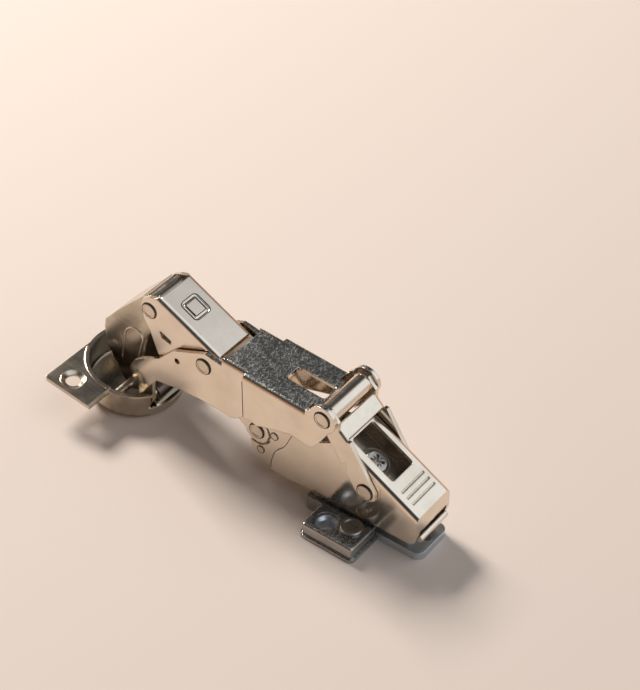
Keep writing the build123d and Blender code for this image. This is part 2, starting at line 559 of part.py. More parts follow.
boss += slab(
    lever_pin_local[0] - BOSS_R, lever_pin_local[0] + BOSS_R, boss_face, 15,
    -CUP_DEPTH + CUP_WALL / 2, lever_pin_local[1],
)
boss = boss & (Pos(0, 0, -CUP_DEPTH / 2) * Cylinder(CUP_R - CUP_WALL / 2, CUP_DEPTH))
cup += both(boss)
cup = cup_place * cup
pin_room = cup_place * Pos(0, 0, -CUP_DEPTH / 2) * Cylinder(hollow_r, CUP_DEPTH)
wall_room = cup_place * Pos(0, 0, -CUP_DEPTH / 2) * Cylinder(CUP_R - CUP_WALL / 2, CUP_DEPTH)
cup -= seat(CUP_LEVER_PIVOT, CUP_PIN_R) & pin_room
cup -= seat(CUP_LINK_PIVOT, CUP_PIN_R) & wall_room
for hole_y in (CUP_HOLE_MARGIN - FLANGE_HALF, FLANGE_HALF - CUP_HOLE_MARGIN):
    cup -= cup_place * Pos(CUP_HOLE_BACK, hole_y, 0) * Cylinder(CUP_HOLE_R, 12)
    cup_sink = Cone(CUP_HOLE_R, CUP_SINK_R, CUP_SINK_DEPTH)
    cup -= cup_place * Pos(CUP_HOLE_BACK, hole_y, -CUP_SINK_DEPTH / 2) * cup_sink
parts["cup"] = cup

# Pins inside the cup
parts["cup_lever_pin"] = pin(CUP_LEVER_PIVOT, CUP_PIN_R, CUP_R) & pin_room
stub = disc(CUP_LINK_PIVOT, CUP_PIN_R, LINK_HALF + LAYER_GAP, CUP_R) & wall_room
parts["cup_link_pins"] = both(stub)

# Closing spring round the lever pin in the cup
coil = pin(CUP_LEVER_PIVOT, SPRING_R, SPRING_HALF) - pin(CUP_LEVER_PIVOT, CUP_PIN_R + 0.2, 20)
parts["cup_spring"] = coil

for name, shape in parts.items():
    shape.label = name
    export_step(shape, f"parts/{name}.step")
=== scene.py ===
import bpy
import numpy as np
from mathutils import Matrix, Vector


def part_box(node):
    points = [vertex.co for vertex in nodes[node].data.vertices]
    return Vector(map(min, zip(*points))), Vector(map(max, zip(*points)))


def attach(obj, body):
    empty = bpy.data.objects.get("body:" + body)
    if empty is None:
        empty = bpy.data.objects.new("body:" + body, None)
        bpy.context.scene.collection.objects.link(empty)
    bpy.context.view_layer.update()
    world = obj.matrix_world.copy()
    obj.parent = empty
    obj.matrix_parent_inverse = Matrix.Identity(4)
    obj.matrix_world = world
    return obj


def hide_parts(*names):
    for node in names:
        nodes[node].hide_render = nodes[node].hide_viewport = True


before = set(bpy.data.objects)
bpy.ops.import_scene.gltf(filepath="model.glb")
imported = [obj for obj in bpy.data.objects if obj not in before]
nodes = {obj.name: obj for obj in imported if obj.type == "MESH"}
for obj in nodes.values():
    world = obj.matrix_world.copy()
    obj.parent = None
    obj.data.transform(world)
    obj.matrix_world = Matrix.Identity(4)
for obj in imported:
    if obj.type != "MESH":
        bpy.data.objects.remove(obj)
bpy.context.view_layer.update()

scene = bpy.context.scene
scene.view_settings.view_transform = "Standard"

# Camera: looks down on the hinge from the near right, where the rear end of its
# arm points at the lens and the cup lies at the far left.
FOCAL_PX = 1822.0
CAMERA_AZIMUTH = np.radians(36.97)
CAMERA_ELEVATION = np.radians(41.24)
CAMERA_ROLL = np.radians(0.34)
ORIGIN_PX = (355.8, 505.1)
ORIGIN_DEPTH = 0.6057
IMAGE_CENTRE_PX = (320.0, 345.0)
back = np.array([
    np.sin(CAMERA_AZIMUTH) * np.cos(CAMERA_ELEVATION),
    -np.cos(CAMERA_AZIMUTH) * np.cos(CAMERA_ELEVATION),
    np.sin(CAMERA_ELEVATION),
])
level = np.cross(-back, [0.0, 0.0, 1.0])
level /= np.linalg.norm(level)
upward = np.cross(level, -back)
right = np.cos(CAMERA_ROLL) * level + np.sin(CAMERA_ROLL) * upward
up = -np.sin(CAMERA_ROLL) * level + np.cos(CAMERA_ROLL) * upward
shift_right = (ORIGIN_PX[0] - IMAGE_CENTRE_PX[0]) / FOCAL_PX * ORIGIN_DEPTH
shift_up = -(ORIGIN_PX[1] - IMAGE_CENTRE_PX[1]) / FOCAL_PX * ORIGIN_DEPTH
eye = ORIGIN_DEPTH * back - shift_right * right - shift_up * up
camera = bpy.data.cameras.new("camera")
camera.sensor_fit = "HORIZONTAL"
camera.sensor_width = 36.0
camera.lens = FOCAL_PX * camera.sensor_width / (2.0 * IMAGE_CENTRE_PX[0])
camera.clip_start = 0.01
camera.clip_end = 50.0
camera_object = bpy.data.objects.new("camera", camera)
scene.collection.objects.link(camera_object)
turn = np.eye(4)
turn[:3, 0] = right
turn[:3, 1] = up
turn[:3, 2] = back
turn[:3, 3] = eye
camera_object.matrix_world = Matrix(turn.tolist())
scene.camera = camera_object


# Studio: a pale warm floor, a key lamp from the cup's side that throws the shadow
# to the right, and a room that is dark up and behind the cup and over the lens,
# where the flat tops and the bends look, and bright where the sloping tops look.
FLOOR_HALF = 4.0
FLOOR_COLOUR = (0.68, 0.575, 0.50, 1.0)


def surface(name, rows):
    """A mesh from a grid of points: rows[i][j] is the place at step i of the first
    parameter and step j of the second."""
    rows = np.asarray(rows, dtype=float)
    m, n = rows.shape[:2]
    index = np.arange(m * n).reshape(m, n)
    sides = [index[:-1, :-1], index[1:, :-1], index[1:, 1:], index[:-1, 1:]]
    quads = np.stack(sides, axis=-1).reshape(-1, 4)
    mesh = bpy.data.meshes.new(name)
    mesh.from_pydata(rows.reshape(-1, 3).tolist(), [], quads.tolist())
    mesh.update()
    made = bpy.data.objects.new(name, mesh)
    scene.collection.objects.link(made)
    return made


def material(name):
    """A new node material, its node tree and its Principled shader."""
    made = bpy.data.materials.new(name)
    made.use_nodes = True
    shader = made.node_tree.nodes["Principled BSDF"]
    return made, made.node_tree, shader


corners = np.array([-FLOOR_HALF, FLOOR_HALF])
floor_x, floor_y = np.meshgrid(corners, corners, indexing="ij")
floor = surface("floor", np.stack([floor_x, floor_y, 0 * floor_x], axis=-1))
floor_material, _, floor_shader = material("floor")
floor_shader.inputs["Base Color"].default_value = FLOOR_COLOUR
floor_shader.inputs["Roughness"].default_value = 0.75
floor_shader.inputs["Specular IOR Level"].default_value = 0.2
floor.data.materials.append(floor_material)


def lamp(name, place, target, width, height, watts, colour):
    """A soft rectangular lamp that faces the target."""
    light = bpy.data.lights.new(name, "AREA")
    light.shape = "RECTANGLE"
    light.size = width
    light.size_y = height
    light.energy = watts
    light.color = colour
    made = bpy.data.objects.new(name, light)
    made.location = place
    made.rotation_euler = (Vector(target) - Vector(place)).to_track_quat("-Z", "Y").to_euler()
    scene.collection.objects.link(made)
    return made


CENTRE = (-0.04, 0.0, 0.02)
KEY_PLACE = (-1.25, 0.35, 1.15)
KEY_SIZE = 0.5
KEY_WATTS = 35.0
KEY_COLOUR = (1.0, 0.97, 0.93)
lamp("key", KEY_PLACE, CENTRE, KEY_SIZE, KEY_SIZE, KEY_WATTS, KEY_COLOUR)

ROOM_WARM = (0.56, 0.35, 0.22, 1.0)
ROOM_DARK = (0.050, 0.053, 0.056, 1.0)
ROOM_BRIGHT = (0.95, 1.03, 1.12, 1.0)
DARK_WAY = (-0.45, 0.60, 0.66)
LENS_WAY = (0.25, -0.76, 0.60)
ABOVE_WAY = (-0.50, -0.36, 0.79)
BRIGHT_WAY = (0.75, 0.0, 0.66)
world = bpy.data.worlds.new("room")
scene.world = world
world.use_nodes = True
room = world.node_tree
direction = room.nodes.new("ShaderNodeTexCoord")


def toward(way, low, high):
    """0 to 1 as the direction comes round to the given one: its dot product, stretched
    from low to high."""
    dot = room.nodes.new("ShaderNodeVectorMath")
    dot.operation = "DOT_PRODUCT"
    dot.inputs[1].default_value = way
    room.links.new(direction.outputs["Generated"], dot.inputs[0])
    span = room.nodes.new("ShaderNodeMapRange")
    span.interpolation_type = "SMOOTHSTEP"
    span.inputs["From Min"].default_value = low
    span.inputs["From Max"].default_value = high
    room.links.new(dot.outputs["Value"], span.inputs["Value"])
    return span.outputs["Result"]


brighter = room.nodes.new("ShaderNodeMix")
brighter.data_type = "RGBA"
brighter.inputs["A"].default_value = ROOM_WARM
brighter.inputs["B"].default_value = ROOM_BRIGHT
room.links.new(toward(BRIGHT_WAY, 0.45, 0.72), brighter.inputs["Factor"])
darker = room.nodes.new("ShaderNodeMix")
darker.data_type = "RGBA"
darker.inputs["B"].default_value = ROOM_DARK
unlit = room.nodes.new("ShaderNodeMath")
unlit.operation = "MAXIMUM"
room.links.new(toward(DARK_WAY, 0.70, 0.90), unlit.inputs[0])
room.links.new(toward(LENS_WAY, 0.74, 0.90), unlit.inputs[1])
above = room.nodes.new("ShaderNodeMath")
above.operation = "MAXIMUM"
room.links.new(unlit.outputs[0], above.inputs[0])
room.links.new(toward(ABOVE_WAY, 0.80, 0.93), above.inputs[1])
room.links.new(above.outputs[0], darker.inputs["Factor"])
room.links.new(brighter.outputs["Result"], darker.inputs["A"])
room.links.new(darker.outputs["Result"], room.nodes["Background"].inputs[0])


# Plated sheet: pressed steel under nickel, bright but not quite even. The colour
# and gloss drift in soft patches, fine lines run along it, and handling has left
# short marks.
def plated_group():
    """Builds the shared wear group: soft patches, fine lines and short marks over
    Object coordinates."""
    group = bpy.data.node_groups.new("plating_wear", "ShaderNodeTree")
    face = group.interface
    for name, kind, value in (
        ("Clean", "NodeSocketColor", (0.8, 0.75, 0.68, 1.0)),
        ("Dull", "NodeSocketColor", (0.5, 0.46, 0.4, 1.0)),
        ("Gloss", "NodeSocketFloat", 0.2),
        ("Patchiness", "NodeSocketFloat", 0.5),
        ("Lines", "NodeSocketFloat", 0.3),
        ("Marks", "NodeSocketFloat", 0.2),
    ):
        socket = face.new_socket(name, in_out="INPUT", socket_type=kind)
        socket.default_value = value
    face.new_socket("Colour", in_out="OUTPUT", socket_type="NodeSocketColor")
    face.new_socket("Roughness", in_out="OUTPUT", socket_type="NodeSocketFloat")
    face.new_socket("Height", in_out="OUTPUT", socket_type="NodeSocketFloat")
    make = group.nodes.new
    join = group.links.new
    taken = make("NodeGroupInput")
    given = make("NodeGroupOutput")
    place = make("ShaderNodeTexCoord")

    def noise(scale, detail, rough, stretch=(1.0, 1.0, 1.0), slant=0.0):
        mapping = make("ShaderNodeMapping")
        mapping.inputs["Scale"].default_value = stretch
        mapping.inputs["Rotation"].default_value = (0.0, slant, 0.0)
        join(place.outputs["Object"], mapping.inputs["Vector"])
        made = make("ShaderNodeTexNoise")
        made.inputs["Scale"].default_value = scale
        made.inputs["Detail"].default_value = detail
        made.inputs["Roughness"].default_value = rough
        join(mapping.outputs["Vector"], made.inputs["Vector"])
        return made.outputs["Fac"]

    def sums(kind, a, b, c=None):
        made = make("ShaderNodeMath")
        made.operation = kind
        for i, value in enumerate((a, b, c)):
            if value is None:
                continue
            if isinstance(value, (int, float)):
                made.inputs[i].default_value = value
            else:
                join(value, made.inputs[i])
        return made.outputs[0]

    def stretch_range(value, low, high):
        made = make("ShaderNodeMapRange")
        made.inputs["From Min"].default_value = low
        made.inputs["From Max"].default_value = high
        join(value, made.inputs["Value"])
        return made.outputs["Result"]

    patches = stretch_range(noise(95.0, 4.0, 0.55), 0.38, 0.68)
    lines = noise(260.0, 3.0, 0.6, (0.35, 6.0, 3.2))
    marks = stretch_range(noise(700.0, 3.0, 0.65, (0.5, 1.6, 1.0), 0.5), 0.62, 0.72)
    spots = stretch_range(noise(240.0, 5.0, 0.7), 0.5, 0.72)
    dull = sums("MULTIPLY", patches, taken.outputs["Patchiness"])
    marked = sums("MULTIPLY", sums("MULTIPLY", marks, spots), taken.outputs["Marks"])
    tint = make("ShaderNodeMix")
    tint.data_type = "RGBA"
    join(dull, tint.inputs["Factor"])
    join(taken.outputs["Clean"], tint.inputs["A"])
    join(taken.outputs["Dull"], tint.inputs["B"])
    pale = make("ShaderNodeMix")
    pale.data_type = "RGBA"
    pale.inputs["B"].default_value = (0.88, 0.86, 0.82, 1.0)
    join(marked, pale.inputs["Factor"])
    join(tint.outputs["Result"], pale.inputs["A"])
    join(pale.outputs["Result"], given.inputs["Colour"])
    line_part = sums("MULTIPLY", sums("SUBTRACT", lines, 0.5), taken.outputs["Lines"])
    rough = sums("ADD", taken.outputs["Gloss"], sums("MULTIPLY", dull, 0.12))
    rough = sums("ADD", rough, sums("MULTIPLY", marked, 0.35))
    rough = sums("ADD", rough, sums("MULTIPLY", line_part, 0.3))
    join(rough, given.inputs["Roughness"])
    height = sums("ADD", sums("MULTIPLY", line_part, 0.5), sums("MULTIPLY", marked, -0.6))
    join(sums("ADD", height, sums("MULTIPLY", patches, 0.15)), given.inputs["Height"])
    return group


wear = plated_group()


def plated(name, clean, dull, gloss, patchiness, lines, marks, bump, corner=0.0004):
    """A metal finish from the wear group, with its edges rounded off in the light by
    a Bevel node."""
    made, tree, shader = material(name)
    used = tree.nodes.new("ShaderNodeGroup")
    used.node_tree = wear
    used.inputs["Clean"].default_value = (*clean, 1.0)
    used.inputs["Dull"].default_value = (*dull, 1.0)
    used.inputs["Gloss"].default_value = gloss
    used.inputs["Patchiness"].default_value = patchiness
    used.inputs["Lines"].default_value = lines
    used.inputs["Marks"].default_value = marks
    edge = tree.nodes.new("ShaderNodeBevel")
    edge.samples = 4
    edge.inputs["Radius"].default_value = corner
    relief = tree.nodes.new("ShaderNodeBump")
    relief.inputs["Strength"].default_value = bump
    relief.inputs["Distance"].default_value = 0.0001
    tree.links.new(edge.outputs["Normal"], relief.inputs["Normal"])
    tree.links.new(used.outputs["Height"], relief.inputs["Height"])
    tree.links.new(used.outputs["Colour"], shader.inputs["Base Color"])
    tree.links.new(used.outputs["Roughness"], shader.inputs["Roughness"])
    tree.links.new(relief.outputs["Normal"], shader.inputs["Normal"])
    shader.inputs["Metallic"].default_value = 1.0
    return made


def finish(made, *names):
    """Gives these CAD nodes the finish."""
    for name in names:
        mesh = nodes[name].data
        mesh.materials.clear()
        mesh.materials.append(made)


NICKEL = (0.82, 0.72, 0.60)
NICKEL_DULL = (0.66, 0.56, 0.45)
bright_nickel = plated("bright_nickel", NICKEL, NICKEL_DULL, 0.15, 0.5, 0.3, 0.2, 0.22)
finish(bright_nickel, "arm_housing", "rear_link", "release_lever", "front_bracket")


# Upper lever: the same sheet, satin smooth on top, with a square frame pressed into
# it round a raised island. Thin dark pieces of painted shade lie in the pressed and riveted
# edges.
SATIN = (0.82, 0.72, 0.61)
SATIN_DULL = (0.70, 0.61, 0.51)
satin_nickel = plated("satin_nickel", SATIN, SATIN_DULL, 0.2, 0.4, 0.25, 0.1, 0.18)
finish(satin_nickel, "upper_lever")
# Painted shade: a near-black finish for thin pieces laid along seams, grooves and round heads.
SEAM_SHADE = (0.10, 0.08, 0.065)
SEAM_SHADE_DULL = (0.05, 0.04, 0.032)
seam_shade = plated("seam_shade", SEAM_SHADE, SEAM_SHADE_DULL, 0.5, 0.6, 0.1, 0.05, 0.2, 0.00005)
UPPER_FRONT = np.array([-0.0740, 0.0557])
UPPER_REAR = np.array([-0.0505, 0.0438])
FRAME_ALONG = 0.0082
FRAME_HALF_LENGTH = 0.00325
FRAME_HALF_WIDTH = 0.00315
FRAME_CORNER = 0.00075
FRAME_GROOVE_HALF = 0.00076
FRAME_DEPTH = 0.00058


def wrapped(name, grid, loop):
    """A closed shell from rings of points: grid[i][j] is ring i at step j round it. The
    rings join into a loop, or each end ring is closed by one face. The faces are turned
    outward where the shell's signed volume is negative."""
    grid = np.asarray(grid, dtype=float)
    m, n = grid.shape[:2]
    index = np.arange(m * n).reshape(m, n)
    here = index if loop else index[:-1]
    there = np.roll(index, -1, axis=0) if loop else index[1:]
    sides = [here, there, np.roll(there, -1, axis=1), np.roll(here, -1, axis=1)]
    quads = np.stack(sides, axis=-1).reshape(-1, 4)
    points = grid.reshape(-1, 3)
    middle = points.mean(axis=0)
    a, b, c = (points[quads[:, k]] - middle for k in range(3))
    d = points[quads[:, 3]] - middle
    volume = np.einsum("ij,ij->i", a, np.cross(b, c)).sum()
    volume += np.einsum("ij,ij->i", a, np.cross(c, d)).sum()
    faces = quads.tolist()
    if not loop:
        faces += [index[0].tolist(), index[-1][::-1].tolist()]
    if volume < 0:
        faces = [face[::-1] for face in faces]
    mesh = bpy.data.meshes.new(name)
    mesh.from_pydata(points.tolist(), [], faces)
    mesh.polygons.foreach_set("use_smooth", [len(face) == 4 for face in faces])
    mesh.update()
    made = bpy.data.objects.new(name, mesh)
    scene.collection.objects.link(made)
    return made


def turned(name, profile, centre, axis, steps=48):
    """A ring turned about an axis: point (r, h) of the closed profile goes to
    centre + h axis + r (cos a, sin a) in the plane across the axis."""
    axis = np.asarray(axis, dtype=float) / np.linalg.norm(axis)
    side = np.cross(axis, [0.0, 0.0, 1.0] if abs(axis[2]) < 0.9 else [1.0, 0.0, 0.0])
    side /= np.linalg.norm(side)
    across = np.cross(axis, side)
    profile = np.asarray(profile, dtype=float)
    a = np.linspace(0.0, 2.0 * np.pi, steps, endpoint=False)[:, None, None]
    r = profile[None, :, 0, None]
    h = profile[None, :, 1, None]
    spoke = np.cos(a) * side + np.sin(a) * across
    return wrapped(name, np.asarray(centre) + h * axis + r * spoke, True)


def carried(name, line, across, out, profile, loop):
    """A profile carried along a line: point (a, b) of the closed profile goes to
    line + a across + b out."""
    profile = np.asarray(profile, dtype=float)
    a = profile[None, :, 0, None]
    b = profile[None, :, 1, None]
    grid = line[:, None, :] + a * across[:, None, :] + b * out[:, None, :]
    return wrapped(name, grid, loop)


def rounded(half_length, half_width, corner, steps=8):
    """A rounded rectangle and its outward directions: corner centre + corner radius
    (cos a, sin a), a quarter turn in each corner."""
    a = np.linspace(0.0, np.pi / 2.0, steps)
    turn = (a[None, :] + np.arange(4)[:, None] * np.pi / 2.0).ravel()
    away = np.stack([np.cos(turn), np.sin(turn)], axis=-1)
    middle = np.repeat([(1.0, 1.0), (-1.0, 1.0), (-1.0, -1.0), (1.0, -1.0)], steps, axis=0)
    return middle * (half_length - corner, half_width - corner) + corner * away, away


flat, away = rounded(FRAME_HALF_LENGTH, FRAME_HALF_WIDTH, FRAME_CORNER)
down_upper = (UPPER_REAR - UPPER_FRONT) / np.linalg.norm(UPPER_REAR - UPPER_FRONT)
along_upper = np.array([down_upper[0], 0.0, down_upper[1]])
over_upper = np.array([0.0, 1.0, 0.0])
out_upper = np.array([-down_upper[1], 0.0, down_upper[0]])
frame_middle = np.array([UPPER_FRONT[0], 0.0, UPPER_FRONT[1]]) + FRAME_ALONG * along_upper
frame_line = frame_middle + flat[:, :1] * along_upper + flat[:, 1:] * over_upper
frame_across = away[:, :1] * along_upper + away[:, 1:] * over_upper
frame_out = np.tile(out_upper, (len(flat), 1))
s = np.linspace(1.0, -1.0, 9)
groove_depth = FRAME_DEPTH * 0.85 * (1.0 - s * s) ** 0.8
hollow = [(FRAME_GROOVE_HALF * v, -deep + 0.00002) for v, deep in zip(s, groove_depth)]
groove_back = -FRAME_DEPTH - 0.00004
hollow += [(-FRAME_GROOVE_HALF, groove_back), (FRAME_GROOVE_HALF, groove_back)]
frame_groove = carried("frame_groove", frame_line, frame_across, frame_out, hollow, True)
frame_groove.data.materials.append(satin_nickel)
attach(frame_groove, "upper")
# Two thin dark lines of painted shade run beside the groove.
LINE_HALF = 0.00013
LINE_RISE = 0.00006
for label, offset in (
    ("outer", FRAME_GROOVE_HALF + 0.00010),
    ("inner", -FRAME_GROOVE_HALF + 0.00012),
):
    thread = [
        (offset - LINE_HALF, -LINE_RISE), (offset + LINE_HALF, -LINE_RISE),
        (offset + LINE_HALF, LINE_RISE), (offset - LINE_HALF, LINE_RISE),
    ]
    name = f"frame_line_{label}"
    frame_line_piece = carried(name, frame_line, frame_across, frame_out, thread, True)
    frame_line_piece.data.materials.append(seam_shade)
    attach(frame_line_piece, "upper")


# Long lever: barrel plated with the rest, so its flat top is crossed by short pale
# scuffs. Their darker, smoother background colour on the top is painted shade; its sides
# stay as bright as the arm's. The dark lines at the sheet's step and at the arm's nose
# under it are painted shade.
SCUFF_SLANTS = ((0.5, 1500.0), (-0.8, 1900.0), (1.7, 1300.0))
SCUFF_STRETCH = (3.0, 0.8, 1.0)
SCUFF_ROUGHER = 0.34


def scuffed_shaded_top(made, dark, pale, amount):
    """Mixes pale scuffs into the faces that look up, over a dark colour, by their Object
    normal's Z; the dark colour is painted shade on the tops. The scuffs are noise drawn
    out along three slants."""
    tree = made.node_tree
    shader = tree.nodes["Principled BSDF"]
    place = tree.nodes.new("ShaderNodeTexCoord")
    facing = tree.nodes.new("ShaderNodeSeparateXYZ")
    tree.links.new(place.outputs["Normal"], facing.inputs[0])
    top = tree.nodes.new("ShaderNodeMapRange")
    top.inputs["From Min"].default_value = 0.8
    top.inputs["From Max"].default_value = 0.97
    top.inputs["To Max"].default_value = amount
    tree.links.new(facing.outputs["Z"], top.inputs["Value"])
    shaded_ground = tree.nodes.new("ShaderNodeMix")
    shaded_ground.data_type = "RGBA"
    shaded_ground.inputs["A"].default_value = (*dark, 1.0)
    shaded_ground.inputs["B"].default_value = (*pale, 1.0)
    found = None
    for slant, scale in SCUFF_SLANTS:
        slanted = tree.nodes.new("ShaderNodeMapping")
        slanted.vector_type = "TEXTURE"
        slanted.inputs["Rotation"].default_value = (0.0, 0.0, slant)
        slanted.inputs["Scale"].default_value = SCUFF_STRETCH
        tree.links.new(place.outputs["Object"], slanted.inputs["Vector"])
        flecks = tree.nodes.new("ShaderNodeTexNoise")
        flecks.inputs["Scale"].default_value = scale
        flecks.inputs["Detail"].default_value = 4.0
        flecks.inputs["Roughness"].default_value = 0.7
        tree.links.new(slanted.outputs["Vector"], flecks.inputs["Vector"])
        sharp = tree.nodes.new("ShaderNodeMapRange")
        sharp.inputs["From Min"].default_value = 0.51
        sharp.inputs["From Max"].default_value = 0.8
        tree.links.new(flecks.outputs["Fac"], sharp.inputs["Value"])
        if found is None:
            found = sharp.outputs["Result"]
            continue
        larger = tree.nodes.new("ShaderNodeMath")
        larger.operation = "MAXIMUM"
        tree.links.new(found, larger.inputs[0])
        tree.links.new(sharp.outputs["Result"], larger.inputs[1])
        found = larger.outputs[0]
    tree.links.new(found, shaded_ground.inputs["Factor"])
    blend = tree.nodes.new("ShaderNodeMix")
    blend.data_type = "RGBA"
    tree.links.new(shader.inputs["Base Color"].links[0].from_socket, blend.inputs["A"])
    tree.links.new(shaded_ground.outputs["Result"], blend.inputs["B"])
    tree.links.new(top.outputs["Result"], blend.inputs["Factor"])
    tree.links.new(blend.outputs["Result"], shader.inputs["Base Color"])
    grit = tree.nodes.new("ShaderNodeMath")
    grit.operation = "MULTIPLY"
    tree.links.new(found, grit.inputs[0])
    tree.links.new(top.outputs["Result"], grit.inputs[1])
    rough = tree.nodes.new("ShaderNodeMath")
    rough.operation = "MULTIPLY_ADD"
    rough.inputs[1].default_value = SCUFF_ROUGHER
    tree.links.new(grit.outputs[0], rough.inputs[0])
    tree.links.new(shader.inputs["Roughness"].links[0].from_socket, rough.inputs[2])
    tree.links.new(rough.outputs[0], shader.inputs["Roughness"])


lever_nickel = plated("lever_nickel", NICKEL, NICKEL_DULL, 0.15, 0.5, 0.3, 0.2, 0.22)
# The darker colour is painted shade on the top faces; the pale scuffs are wear.
LEVER_TOP_SHADE = (0.52, 0.52, 0.50)
LEVER_SCUFF = (0.88, 0.87, 0.84)
scuffed_shaded_top(lever_nickel, LEVER_TOP_SHADE, LEVER_SCUFF, 0.9)
finish(lever_nickel, "long_lever")
STEP_X = -0.03745
STEP_HALF = 0.01225
SEAM_R = 0.00016


def smoothed(points, steps=10):
    """A Catmull-Rom curve through the points: on each span, half of (2 p1 + (p2 - p0) s
    + (2 p0 - 5 p1 + 4 p2 - p3) s squared + (3 p1 - p0 - 3 p2 + p3) s cubed)."""
    p = np.asarray(points, dtype=float)
    p = np.concatenate([[2 * p[0] - p[1]], p, [2 * p[-1] - p[-2]]])
    s = np.linspace(0.0, 1.0, steps, endpoint=False)[None, :, None]
    p0, p1, p2, p3 = (p[k:len(p) - 3 + k, None, :] for k in range(4))
    spans = 0.5 * (2 * p1 + (p2 - p0) * s + (2 * p0 - 5 * p1 + 4 * p2 - p3) * s ** 2
                   + (3 * p1 - p0 - 3 * p2 + p3) * s ** 3)
    return np.concatenate([spans.reshape(-1, p.shape[1]), p[-2:-1]])


def side_bead(name, outline, half, radius, finish_used, body):
    """A thin round bead on each side, at y = -half and y = +half: a circle carried along
    the smoothed X-Z outline, across its tangent turned a quarter and along Y."""
    line = smoothed(outline)
    way = np.gradient(line, axis=0)
    way /= np.linalg.norm(way, axis=1, keepdims=True)
    a = np.linspace(0.0, 2.0 * np.pi, 8, endpoint=False)
    circle = np.stack([radius * np.cos(a), radius * np.sin(a)], axis=-1)
    for side, sign in (("near", -1.0), ("far", 1.0)):
        middle = np.stack([line[:, 0], np.full(len(line), sign * half), line[:, 1]], axis=-1)
        across = np.stack([-way[:, 1], np.zeros(len(line)), way[:, 0]], axis=-1)
        out = np.tile([0.0, sign, 0.0], (len(line), 1))
        made = carried(f"{name}_{side}", middle, across, out, circle, False)
        made.data.materials.append(finish_used)
        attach(made, body)


NOSE_LINE = [
    (-0.0288, 0.0078), (-0.0283, 0.0113), (-0.0266, 0.0162), (-0.0228, 0.0206),
    (-0.0196, 0.0274),
]
NOSE_LINE_R = 0.00012
ARM_FACE = 0.00908
side_bead("nose_line", NOSE_LINE, ARM_FACE, NOSE_LINE_R, seam_shade, "arm")
STEP_LINE = [(STEP_X, 0.0282), (STEP_X, 0.0335), (STEP_X, 0.0395), (STEP_X, 0.0436)]
side_bead("step_line", STEP_LINE, STEP_HALF, SEAM_R, seam_shade, "long")


# Cup link and cup: deep-drawn and folded steel under a thinner, darker plate that
# shows the draw marks. The inside of the cup is darkened with painted shade.
CUP_PLATE = (0.64, 0.56, 0.46)
CUP_PLATE_DULL = (0.42, 0.35, 0.27)
cup_nickel = plated("cup_nickel", CUP_PLATE, CUP_PLATE_DULL, 0.17, 0.75, 0.4, 0.2, 0.25)
finish(cup_nickel, "cup_link")
ARCH = [
    (-0.0960, 0.0190), (-0.0947, 0.0250), (-0.0936, 0.0305), (-0.0922, 0.0338), (-0.0893, 0.0358),
    (-0.0866, 0.0351), (-0.0854, 0.0328), (-0.0868, 0.0280), (-0.0886, 0.0220),
]
CUP_MIDDLE = np.array([-0.0956, 0.0136])
CUP_TILT = np.radians(-7.3)
CUP_INSIDE_R = 0.01685
CUP_FLOOR = -0.01155


def paint_shade_inside(made, middle, tilt, radius, floor_level, shade):
    """Paints shade into the colour of the faces inside a cup: nearer its axis than the
    radius and above its floor, by Object coordinates."""
    tree = made.node_tree
    shader = tree.nodes["Principled BSDF"]
    place = tree.nodes.new("ShaderNodeTexCoord")
    centred = tree.nodes.new("ShaderNodeMapping")
    centred.vector_type = "TEXTURE"
    centred.inputs["Location"].default_value = (middle[0], 0.0, middle[1])
    centred.inputs["Rotation"].default_value = (0.0, -tilt, 0.0)
    tree.links.new(place.outputs["Object"], centred.inputs["Vector"])
    split = tree.nodes.new("ShaderNodeSeparateXYZ")
    tree.links.new(centred.outputs["Vector"], split.inputs[0])
    flatten = tree.nodes.new("ShaderNodeCombineXYZ")
    tree.links.new(split.outputs["X"], flatten.inputs["X"])
    tree.links.new(split.outputs["Y"], flatten.inputs["Y"])
    reach = tree.nodes.new("ShaderNodeVectorMath")
    reach.operation = "LENGTH"
    tree.links.new(flatten.outputs[0], reach.inputs[0])
    within = tree.nodes.new("ShaderNodeMath")
    within.operation = "LESS_THAN"
    within.inputs[1].default_value = radius
    tree.links.new(reach.outputs["Value"], within.inputs[0])
    over = tree.nodes.new("ShaderNodeMath")
    over.operation = "GREATER_THAN"
    over.inputs[1].default_value = floor_level
    tree.links.new(split.outputs["Z"], over.inputs[0])
    both = tree.nodes.new("ShaderNodeMath")
    both.operation = "MULTIPLY"
    tree.links.new(within.outputs[0], both.inputs[0])
    tree.links.new(over.outputs[0], both.inputs[1])
    blend = tree.nodes.new("ShaderNodeMix")
    blend.data_type = "RGBA"
    blend.inputs["B"].default_value = (*shade, 1.0)
    tree.links.new(both.outputs[0], blend.inputs["Factor"])
    tree.links.new(shader.inputs["Base Color"].links[0].from_socket, blend.inputs["A"])
    tree.links.new(blend.outputs["Result"], shader.inputs["Base Color"])


# Painted shade for the inside of the cup.
CUP_SHADE = (0.26, 0.22, 0.17)
drawn_nickel_shaded = plated("drawn_nickel_shaded", CUP_PLATE, CUP_PLATE_DULL, 0.17, 0.75, 0.4, 0.2, 0.25)
paint_shade_inside(drawn_nickel_shaded, CUP_MIDDLE, CUP_TILT, CUP_INSIDE_R, CUP_FLOOR, CUP_SHADE)
finish(drawn_nickel_shaded, "cup")
cup_out = np.array([-np.sin(CUP_TILT), 0.0, np.cos(CUP_TILT)])
cup_along = np.array([np.cos(CUP_TILT), 0.0, np.sin(CUP_TILT)])
cup_over = np.array([0.0, 1.0, 0.0])
cup_mouth = np.array([CUP_MIDDLE[0], 0.0, CUP_MIDDLE[1]])
HOLE_BACK = -0.0095
HOLE_SIDE = 0.0225
RIM_R = 0.0181
RIM_FROM = 84.0
RIM_TO = 157.0
SINK_RIM_R = 0.00435
